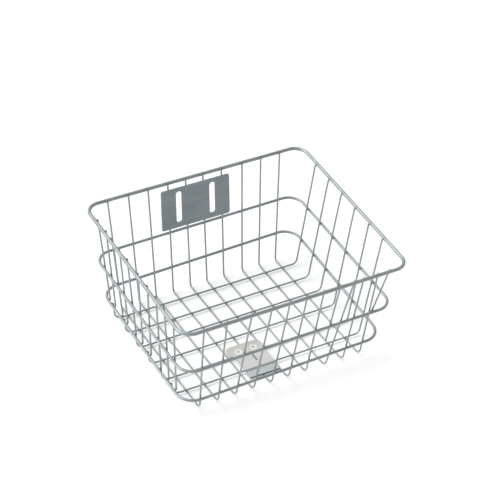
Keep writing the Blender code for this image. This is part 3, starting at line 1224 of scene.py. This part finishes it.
@dataclass
class FrontBackWires(WireSet):
    """Ten wires that run down the back wall, along the floor and up the front wall."""

    stem: str = "front_back_wire"
    back_bend: float = 0.006

    def bends(self) -> list[float]:
        """Return the bend radius at each corner, from the back rim on."""
        return [0, self.back_bend, self.shop.sizes.front_bend, 0]

    def paths(self) -> Iterator[list[Vector]]:
        """Lay out the wires from left to right.

        Returns:
            The corners of each wire in turn.
        """
        sizes = self.shop.sizes
        back_top = sizes.rim_back_height + sizes.cut_end_rise
        front_top = sizes.rim_front_height + sizes.cut_end_rise
        for back, middle, front in zip(sizes.back_shares, sizes.floor_shares, sizes.front_shares):
            floor_x = sizes.floor_half * sizes.floor_spread * middle
            yield [sizes.on_back(sizes.rim_length / 2 * sizes.back_spread * back, back_top),
                   Vector((floor_x, sizes.floor_back, sizes.wire_radius)),
                   Vector((floor_x, sizes.floor_front, sizes.wire_radius)),
                   sizes.on_front(sizes.rim_length / 2 * sizes.front_spread * front, front_top)]


@dataclass
class SideWires(WireSet):
    """Six wires that run down the right wall and across the floor to the lower hoop."""

    stem: str = "side_wire"
    right_bend: float = 0.0075
    left_bend: float = 0.013

    def bends(self) -> list[float]:
        """Return the bend radius at each corner, from the right rim on."""
        return [0, self.right_bend, self.left_bend, 0]

    def paths(self) -> Iterator[list[Vector]]:
        """Lay out the wires from back to front.

        Returns:
            The corners of each wire in turn.
        """
        sizes = self.shop.sizes
        half, low = sizes.floor_half, sizes.cross_height
        for floor_share, rim_share in zip(sizes.side_floor_shares, sizes.side_rim_shares):
            floor_y = sizes.floor_place(floor_share)
            rim_y = sizes.rim_depth / 2 * rim_share
            top = sizes.rim_height_at(rim_y) + sizes.cut_end_rise
            end = sizes.lower_left_height(floor_y) - sizes.hoop_end_gap
            yield [sizes.on_side(1, rim_y, top), Vector((half, floor_y, low)),
                   Vector((-half, floor_y, low)), sizes.on_side(-1, floor_y, end)]


@dataclass
class LeftUprights(WireSet):
    """Ten straight uprights of the left wall, from the lower hoop to the rim."""

    stem: str = "left_upright"

    def paths(self) -> Iterator[list[Vector]]:
        """Lay out the uprights from back to front.

        Returns:
            Both ends of each upright in turn.
        """
        sizes = self.shop.sizes
        for foot_share, rim_share in zip(sizes.left_foot_shares, sizes.left_rim_shares):
            foot_y = sizes.floor_place(lerp(*sizes.left_foot_ends, foot_share))
            rim_y = sizes.rim_depth / 2 * lerp(*sizes.left_rim_ends, rim_share)
            foot = sizes.lower_left_height(foot_y) + sizes.hoop_end_gap
            top = sizes.rim_height_at(rim_y) + sizes.cut_end_rise
            yield [sizes.on_side(-1, foot_y, foot), sizes.on_side(-1, rim_y, top)]


@dataclass
class FrontUprights(WireSet):
    """Two more uprights of the front wall, which end before they reach the floor."""

    stem: str = "front_upright"

    def paths(self) -> Iterator[list[Vector]]:
        """Lay out the uprights from left to right.

        Returns:
            Both ends of each upright in turn.
        """
        sizes = self.shop.sizes
        top = sizes.rim_front_height + sizes.cut_end_rise
        feet = (sizes.rim_front_height * sizes.extra_free_share, sizes.middle_heights[1])
        for rim_share, floor_share, foot in zip(
                sizes.extra_rim_shares, sizes.extra_floor_shares, feet):
            rim_x = sizes.rim_length / 2 * rim_share
            foot_x = lerp(sizes.floor_half * floor_share, rim_x, foot / top)
            yield [sizes.on_front(foot_x, foot), sizes.on_front(rim_x, top)]


@dataclass
class WeldBeads:
    """The small beads where rods, plate and bracket are welded together."""

    shop: Workshop
    name: str = "weld_bead_set"
    rod_spread: Triple = (1.45, 1.3, 0.85)
    sheet_spread: Triple = (1.9, 1.1, 0.75)
    welds: list[Weld] = field(default_factory=list)

    def gather(self, sets: Sequence[RodSet]) -> None:
        """Find every weld between rods of different sets.

        Args:
            sets: the sets of rods.
        """
        groups = [list(rods.rods().values()) for rods in sets]
        for index, group in enumerate(groups):
            for other in groups[index + 1:]:
                for first in group:
                    for second in other:
                        self.welds += second.welds_to(first, self.rod_spread)

    def tack(self, middle: Vector, across: Vector, along: Vector) -> None:
        """Add a bead that holds a sheet to a rod.

        Args:
            middle: middle of the gap.
            across: direction from rod to sheet.
            along: direction of the rod.
        """
        self.welds.append(Weld(middle, across, along, self.sheet_spread))

    def cloud(self) -> Object:
        """Make the points that the beads are set on.

        Returns:
            An object with one point for each bead, which carries its directions and size.
        """
        mesh = bpy.data.meshes.new(self.name)
        mesh.from_pydata([weld.middle for weld in self.welds], [], [])
        for label in ("across", "along", "spread"):
            values = [part for weld in self.welds for part in getattr(weld, label)]
            mesh.attributes.new(label, "FLOAT_VECTOR", "POINT").data.foreach_set("vector", values)
        return scene_object(self.name, mesh)

    def build(self, cloud: Object) -> None:
        """Turn the points into beads.

        Args:
            cloud: the object of points; it is removed.
        """
        piece = self.shop.beads.run(cloud, {"Material": self.shop.weld_paint})
        self.shop.keep(piece, "painted_wire")


def arc(x: float, y: float, radius: float, start: float, turn: int, steps: int) -> Outline:
    """Return points on a quarter of a circle, with both its ends.

    Args:
        x: place of the centre along X.
        y: place of the centre along Y.
        radius: radius of the circle.
        start: angle of the first point, in right angles.
        turn: 1 against the clock, -1 with it.
        steps: stretches between the points.

    Returns:
        The points.
    """
    angles = [math.pi / 2 * (start + turn * step / steps) for step in range(steps + 1)]
    return [(x + radius * math.cos(angle), y + radius * math.sin(angle)) for angle in angles]


def rounded_rectangle(width: float, height: float, radius: float, steps: int = 14) -> Outline:
    """Return the outline of a rectangle with round corners, centred on the origin.

    Args:
        width: size along X.
        height: size along Y.
        radius: corner radius.
        steps: stretches of each corner.

    Returns:
        The points, against the clock, each place once.
    """
    points: Outline = []
    for quarter, (x_sign, y_sign) in enumerate(QUARTERS):
        for place in arc(x_sign * (width / 2 - radius), y_sign * (height / 2 - radius), radius,
                         quarter, 1, steps):
            if not points or math.dist(place, points[-1]) > SAME_PLACE:
                points.append(place)
    if math.dist(points[0], points[-1]) < SAME_PLACE:
        points.pop()
    return points


def shifted(outline: Outline, x_shift: float, y_shift: float) -> Outline:
    """Return an outline moved along X and Y."""
    return [(x + x_shift, y + y_shift) for x, y in outline]


def sheet_mesh(name: str, outlines: Sequence[Outline], thickness: float = 0.0,
               bevel: float = 0.0, bevel_steps: int = 2) -> Mesh:
    """Cut a sheet from outlines, of which the first is its edge and the others are holes.

    Args:
        name: name of the mesh.
        outlines: closed outlines.
        thickness: height of the sheet, or 0 for a single face.
        bevel: size of the rounded edges.
        bevel_steps: extra points across a rounded edge.

    Returns:
        The mesh, centred on the XY plane.
    """
    curve = bpy.data.curves.new(name, "CURVE")
    curve.dimensions = "2D"
    curve.fill_mode = "BOTH"
    curve.extrude = max(thickness / 2 - bevel, 0)
    curve.bevel_depth = bevel
    curve.bevel_resolution = bevel_steps
    curve.offset = -bevel
    for outline in outlines:
        spline = curve.splines.new("POLY")
        spline.points.add(len(outline) - 1)
        for slot, (x, y) in zip(spline.points, outline):
            slot.co = (x, y, 0, 1)
        spline.use_cyclic_u = True
    flat = scene_object(name, curve)
    mesh = plain_mesh(flat)
    bpy.data.objects.remove(flat)
    shape = bmesh.new()
    shape.from_mesh(mesh)
    bmesh.ops.remove_doubles(shape, verts=shape.verts, dist=MERGE_DISTANCE)
    if thickness:
        bmesh.ops.recalc_face_normals(shape, faces=shape.faces)
    shape.to_mesh(mesh)
    shape.free()
    mesh.name = name
    return mesh


@dataclass
class MountingPlate:
    """The slotted plate on the inside of the back wall."""

    shop: Workshop
    name: str = "slotted_plate"
    width: float = 0.106
    height: float = 0.0622
    thickness: float = 0.0018
    corner: float = 0.0035
    below_rim: float = 0.0061
    off_centre: float = -0.0045
    slot_width: float = 0.0086
    slot_length: float = 0.0482
    slot_half_spacing: float = 0.0259
    slot_above_middle: float = 0.0009
    edge: float = 0.00035
    level_faces: float = 0.999
    tack_shares: Pair = (0.36, -0.36)
    tack_margin: float = 0.004

    @property
    def turn(self) -> Matrix:
        """Place of the plate's own frame, which has its origin on the wires.

        Returns:
            The matrix from that frame to the part's.
        """
        back = self.shop.sizes.back
        middle = back.rim_height - (self.below_rim + self.height / 2) * math.cos(back.lean)
        return (Matrix.Translation((self.off_centre, back.out(middle), middle))
                @ Matrix.Rotation(math.pi / 2 - back.lean, 4, "X"))

    @property
    def inward(self) -> Vector:
        """Direction that the plate faces, into the basket."""
        return self.turn.to_3x3() @ UP

    def outlines(self) -> list[Outline]:
        """Draw the plate flat.

        Returns:
            Its edge and its two slots.
        """
        slot = rounded_rectangle(self.slot_width, self.slot_length, self.slot_width / 2)
        return [rounded_rectangle(self.width, self.height, self.corner),
                *(shifted(slot, side * self.slot_half_spacing, self.slot_above_middle)
                  for side in (-1, 1))]

    def build(self) -> None:
        """Make the plate and tie it to the part."""
        sizes = self.shop.sizes
        mesh = sheet_mesh(self.name, self.outlines(), self.thickness, self.edge)
        lift = sizes.wire_radius + sizes.gap + self.thickness / 2
        mesh.transform(self.turn @ Matrix.Translation((0, 0, lift)))
        for face in mesh.polygons:
            face.use_smooth = abs(face.normal.dot(self.inward)) < self.level_faces
        paint = PlatePaint("plate_paint", self.turn.translation, sizes.back.lean,
                           self.width, self.height)
        piece = scene_object(self.name, mesh, paint.make())
        self.shop.keep(piece, "painted_sheet", ["mounting_plate"])

    def tack(self, beads: WeldBeads, wires: Iterable[Rod]) -> None:
        """Weld the plate to the wires behind it.

        Args:
            beads: where the beads are kept.
            wires: wires that run down the back wall first.
        """
        sizes = self.shop.sizes
        lift = self.inward * (sizes.wire_radius + sizes.gap / 2)
        for wire in wires:
            top, foot = wire.corners[:2]
            for share in self.tack_shares:
                height = self.turn.translation.z + self.height * share * math.cos(sizes.back.lean)
                place = top.lerp(foot, (top.z - height) / (top.z - foot.z))
                if abs(place.x - self.off_centre) < self.width / 2 - self.tack_margin:
                    beads.tack(place + lift, self.inward, (foot - top).normalized())


@dataclass
class FloorBracket:
    """The stepped sheet bracket on the floor wires near the front wall."""

    shop: Workshop
    name: str = "stepped_bracket"
    off_centre: float = -0.0149
    thickness: float = 0.0015
    behind_wire: float = 0.0176
    before_wire: float = 0.001
    nose_share: float = 0.65
    head_halves: Pair = (0.028, 0.0263)
    neck_halves: Pair = (0.0215, 0.0245)
    corner: float = 0.01
    corner_steps: int = 16
    nose_corner: float = 0.002
    nose_steps: int = 8
    waist_length: float = 0.0125
    waist_steps: int = 14
    hole: float = 0.0066
    hole_half_spacing: float = 0.0117
    hole_from_back: float = 0.013
    slit_width: float = 0.0018
    slit_length: float = 0.0195
    slit_from_wire: float = 0.0015
    slit_off_centre: float = 0.0028
    slit_steps: int = 6
    fold_radius: float = 0.0006
    fold_angle: float = math.radians(60)
    fold_steps: int = 8
    edge: float = 0.0003
    edge_steps: int = 3
    edge_angle: float = math.radians(50)
    tack_share: float = 0.85

    @property
    def front_wire(self) -> float:
        """Place along Y of the frontmost side wire."""
        return self.shop.sizes.floor_place(self.shop.sizes.side_floor_shares[-1])

    @property
    def rear_wire(self) -> float:
        """Place along Y of the wire behind it."""
        return self.shop.sizes.floor_place(self.shop.sizes.side_floor_shares[-2])

    @property
    def flat_length(self) -> float:
        """Length from the back edge to the step."""
        return self.behind_wire + self.rear_wire - self.front_wire + self.before_wire

    @property
    def slit_middle(self) -> float:
        """Distance of the slit's middle from the back edge."""
        return self.behind_wire + self.slit_from_wire + self.slit_length / 2

    @property
    def underside(self) -> float:
        """Height of the sheet's underside."""
        sizes = self.shop.sizes
        return sizes.cross_height + sizes.wire_radius + sizes.gap

    def fold(self) -> list[Triple]:
        """Return places along the underside of the step.

        Returns:
            For each the distance along the flat sheet past the start of the step, and how
            far forward and how far down it lies once bent.
        """
        drop = self.shop.sizes.wire_radius * 2 + self.shop.sizes.gap
        inner, outer, angle = self.fold_radius, self.fold_radius + self.thickness, self.fold_angle
        slant = (drop - (inner + outer) * (1 - math.cos(angle))) / math.sin(angle)
        turns = [angle * step / self.fold_steps for step in range(self.fold_steps + 1)]
        places = [(inner * turn, inner * math.sin(turn), inner * (1 - math.cos(turn)))
                  for turn in turns]
        along, forward, down = places[-1]
        places += [(along + slant + outer * (angle - turn),
                    forward + slant * math.cos(angle) + outer * (math.sin(angle) - math.sin(turn)),
                    down + slant * math.sin(angle) + outer * (math.cos(turn) - math.cos(angle)))
                   for turn in reversed(turns)]
        return places

    def nose_length(self) -> float:
        """Measure the nose before it is bent.

        Returns:
            How far the flat sheet reaches past the start of the step.
        """
        sizes = self.shop.sizes
        bend = sizes.floor_front + sizes.front_bend / math.tan(
            math.pi / 4 + sizes.front.lean / 2)
        reach = (self.front_wire - bend) * self.nose_share - self.before_wire
        along, forward, _ = self.fold()[-1]
        return reach - forward + along

    def outlines(self) -> list[Outline]:
        """Draw the sheet flat, with its back edge at 0.

        Returns:
            Its edge, its two holes and its slit.
        """
        tip = self.flat_length + self.nose_length()
        sides = []
        for head, neck in zip(self.head_halves, self.neck_halves):
            side = arc(head - self.corner, -self.corner, self.corner, 1, -1, self.corner_steps)
            for step in range(1, self.waist_steps + 1):
                ease = (1 - math.cos(math.pi * step / self.waist_steps)) / 2
                side.append((lerp(head, neck, ease),
                             -self.corner - self.waist_length * step / self.waist_steps))
            side += arc(neck - self.nose_corner, -tip + self.nose_corner, self.nose_corner,
                        0, -1, self.nose_steps)
            sides.append(side)
        edge = [(-x, y) for x, y in sides[0]] + sides[1][::-1]
        ring = rounded_rectangle(self.hole, self.hole, self.hole / 2)
        holes = [shifted(ring, side * self.hole_half_spacing, -self.hole_from_back)
                 for side in (-1, 1)]
        slit = rounded_rectangle(self.slit_width, self.slit_length, self.slit_width / 2,
                                 self.slit_steps)
        return [edge, *holes, shifted(slit, self.slit_off_centre, -self.slit_middle)]

    def bend(self, mesh: Mesh) -> None:
        """Lower the nose of the flat sheet by the step.

        Args:
            mesh: the sheet, which runs from its back edge towards -Y.
        """
        places = self.fold()
        shape = bmesh.new()
        shape.from_mesh(mesh)
        for along, _, _ in places:
            whole = shape.verts[:] + shape.edges[:] + shape.faces[:]
            bmesh.ops.bisect_plane(shape, geom=whole, plane_co=(0, -self.flat_length - along, 0),
                                   plane_no=(0, 1, 0), dist=MERGE_DISTANCE)
        end_along, end_forward, end_down = places[-1]
        for vertex in shape.verts:
            past = -vertex.co.y - self.flat_length
            if past >= end_along - SAME_PLACE:
                vertex.co.y = -self.flat_length - end_forward - (past - end_along)
                vertex.co.z = -end_down
            elif past > 0:
                _, forward, down = min(places, key=lambda place: abs(place[0] - past))
                vertex.co.y = -self.flat_length - forward
                vertex.co.z = -down
        shape.to_mesh(mesh)
        shape.free()

    def build(self) -> None:
        """Make the bracket and tie it to the part."""
        mesh = sheet_mesh(self.name, self.outlines())
        if mesh.polygons[0].normal.z < 0:
            mesh.flip_normals()
        self.bend(mesh)
        back = self.rear_wire + self.behind_wire
        mesh.transform(Matrix.Translation((self.off_centre, back, self.underside)))
        mesh.shade_smooth()
        finish = RolledStainless(
            "bracket_stainless", Vector((self.off_centre, 0, self.underside)),
            half_width=self.head_halves[0], back=back, step=back - self.flat_length,
            front=back - self.flat_length - self.nose_length(),
            hole=(self.hole_half_spacing, back - self.hole_from_back),
            slit=(self.slit_off_centre, back - self.slit_middle, self.slit_length / 2))
        piece = scene_object(self.name, mesh, finish.make())
        solid = piece.modifiers.new("sheet", "SOLIDIFY")
        solid.thickness = self.thickness
        solid.offset = 1
        solid.use_even_offset = True
        round_edge = piece.modifiers.new("edges", "BEVEL")
        round_edge.width = self.edge
        round_edge.segments = self.edge_steps
        round_edge.limit_method = "ANGLE"
        round_edge.angle_limit = self.edge_angle
        round_edge.harden_normals = True
        self.shop.keep(piece, "stainless_sheet", ["floor_bracket"])

    def tack(self, beads: WeldBeads) -> None:
        """Weld the bracket to the two wires that it lies on.

        Args:
            beads: where the beads are kept.
        """
        sizes = self.shop.sizes
        height = sizes.cross_height + sizes.wire_radius + sizes.gap / 2
        for place in (self.front_wire, self.rear_wire):
            for side in (-1, 0, 1):
                across = self.off_centre + side * self.neck_halves[0] * self.tack_share
                beads.tack(Vector((across, place, height)), UP, Vector((1, 0, 0)))


# Studio


@dataclass
class StudioSet:
    """Pale glowing floor, broad soft lights from above and from the left, grey surround."""

    ground_size: float = 7.0
    surround: Colour = (0.42, 0.425, 0.43)
    key_from: Triple = (-0.22, 0.42, 0.86)
    key_strength: float = 1.9
    key_width: float = math.radians(52)
    fill_from: Triple = (-0.9, 0.25, 0.5)
    fill_strength: float = 1.9
    fill_width: float = math.radians(50)

    def build(self) -> None:
        """Make the floor, the lights and the world."""
        shape = bmesh.new()
        bmesh.ops.create_grid(shape, x_segments=1, y_segments=1, size=self.ground_size / 2)
        mesh = bpy.data.meshes.new("studio_ground")
        shape.to_mesh(mesh)
        shape.free()
        ground = scene_object("studio_ground", mesh, StudioGround().make())
        self.lamp("key_light", self.key_from, self.key_strength, self.key_width)
        self.lamp("fill_light", self.fill_from, self.fill_strength, self.fill_width)
        world = bpy.data.worlds.new("studio_surround")
        world.use_nodes = True
        shade = world.node_tree.nodes["Background"]
        shade.inputs["Color"].default_value = (*self.surround, 1)
        shade.inputs["Strength"].default_value = 1.0
        scene = bpy.context.scene
        scene.world = world
        scene.view_settings.view_transform = "Standard"
        scene.view_settings.look = "None"

    def lamp(self, name: str, direction: Triple, strength: float, width: float) -> None:
        """Add a broad soft light that is equally bright all over the set.

        Args:
            name: name of the light.
            direction: where it shines from.
            strength: irradiance of a surface that faces it.
            width: angle that it fills.
        """
        data = bpy.data.lights.new(name, "SUN")
        data.energy = strength
        data.angle = width
        light = scene_object(name, data)
        light.rotation_euler = (-Vector(direction)).to_track_quat("-Z", "Y").to_euler()


@dataclass
class PhotoCamera:
    """The camera at the photograph's viewing angle."""

    azimuth: float = math.radians(31.85071)
    elevation: float = math.radians(37.86166)
    roll: float = math.radians(4.0)
    distance: float = 2.63335
    aim: Triple = (0.0, -0.013398, 0.150855)
    focal_pixels: float = 1989.13
    frame_pixels: float = 500.0
    sensor: float = 36.0
    clip_end: float = 50.0

    def build(self) -> None:
        """Add the camera and make it the scene's."""
        side, rise = math.sin(self.azimuth), math.cos(self.azimuth)
        level, fall = math.cos(self.elevation), math.sin(self.elevation)
        forward = Vector((side * level, rise * level, -fall))
        right = Vector((rise, -side, 0))
        up = right.cross(forward)
        turned = right * math.cos(self.roll) + up * math.sin(self.roll)
        raised = up * math.cos(self.roll) - right * math.sin(self.roll)
        eye = Vector(self.aim) - forward * self.distance
        matrix = Matrix((turned, raised, -forward)).transposed().to_4x4()
        data = bpy.data.cameras.new("photo_camera")
        data.sensor_width = self.sensor
        data.lens = self.focal_pixels / self.frame_pixels * self.sensor
        data.clip_end = self.clip_end
        camera = scene_object("photo_camera", data)
        camera.matrix_world = Matrix.Translation(eye) @ matrix
        bpy.context.scene.camera = camera


def main() -> None:
    """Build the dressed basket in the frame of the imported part."""
    logging.basicConfig(level=logging.INFO, format="%(name)s: %(message)s", force=True)
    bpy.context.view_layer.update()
    PhotoCamera().build()
    StudioSet().build()
    wire_paint = SatinPaint("wire_paint", light=(0.335, 0.37, 0.373), dark=(0.275, 0.306, 0.311))
    weld_paint = SatinPaint("weld_paint", light=(0.325, 0.355, 0.355), dark=(0.26, 0.285, 0.288),
                            least_roughness=0.33)
    shop = Workshop(Sizes(), TubeTree(), BeadTree(), wire_paint.make(), weld_paint.make())
    wires = FrontBackWires(shop)
    sets = [HoopSet(shop), wires, SideWires(shop), LeftUprights(shop), FrontUprights(shop)]
    plate, bracket, beads = MountingPlate(shop), FloorBracket(shop), WeldBeads(shop)
    beads.gather(sets)
    plate.tack(beads, wires.rods().values())
    bracket.tack(beads)
    log.info("%d welds", len(beads.welds))
    cloud = beads.cloud()
    for rods in sets:
        rods.build(cloud)
    beads.build(cloud)
    plate.build()
    bracket.build()


if __name__ == "__main__":
    main()
